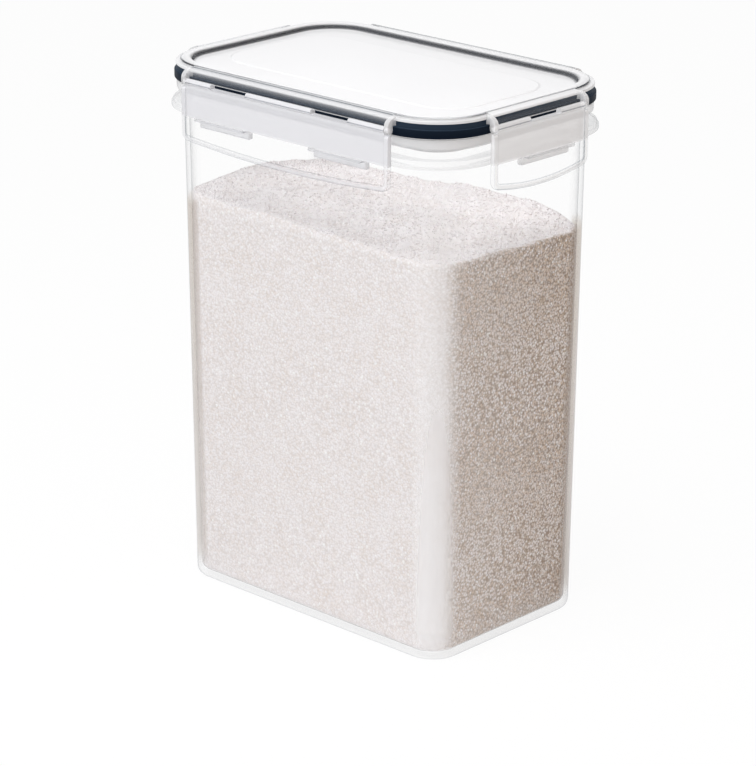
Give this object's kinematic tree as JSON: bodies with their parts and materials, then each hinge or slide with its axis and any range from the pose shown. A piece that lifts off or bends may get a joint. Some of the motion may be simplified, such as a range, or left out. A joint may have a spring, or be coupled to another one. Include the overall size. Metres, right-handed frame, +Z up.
{
  "type": "food canister",
  "caption": "Tall rectangular clear food canister with a gasketed lid held down by four hinged snap flaps.",
  "frame": {"origin": "centre of the rectangle that the canister stands on, at table height", "axes": "+Z up, X along the long sides, -Y towards the front, where one of the two long flaps is"},
  "size_m": [0.1546, 0.1054, 0.206],
  "materials": {
    "clear_body": "clear, polished",
    "clear_lid": "clear, polished",
    "clear_flap": "clear, faintly frosted inside",
    "navy_silicone": "satin"
  },
  "bodies": {
    "container": {"container": "clear_body"},
    "lid": {"lid": "clear_lid", "gasket": "navy_silicone"},
    "flap_front": {"flap_front": "clear_flap"},
    "flap_back": {"flap_back": "clear_flap"},
    "flap_left": {"flap_left": "clear_flap"},
    "flap_right": {"flap_right": "clear_flap"}
  },
  "joints": [
    {"name": "lid_lift", "type": "slide", "parent": "container", "child": "lid", "axis": [0, 0, 1], "range_m": [0, 0.12]},
    {"name": "front_flap_hinge", "type": "hinge", "parent": "lid", "child": "flap_front", "pos_m": [0, -0.05115, 0.20075], "axis": [-1, 0, 0], "range_deg": [0, 110]},
    {"name": "back_flap_hinge", "type": "hinge", "parent": "lid", "child": "flap_back", "pos_m": [0, 0.05115, 0.20075], "axis": [1, 0, 0], "range_deg": [0, 110]},
    {"name": "left_flap_hinge", "type": "hinge", "parent": "lid", "child": "flap_left", "pos_m": [-0.07575, 0, 0.20075], "axis": [0, 1, 0], "range_deg": [0, 110]},
    {"name": "right_flap_hinge", "type": "hinge", "parent": "lid", "child": "flap_right", "pos_m": [0.07575, 0, 0.20075], "axis": [0, -1, 0], "range_deg": [0, 110]}
  ]
}
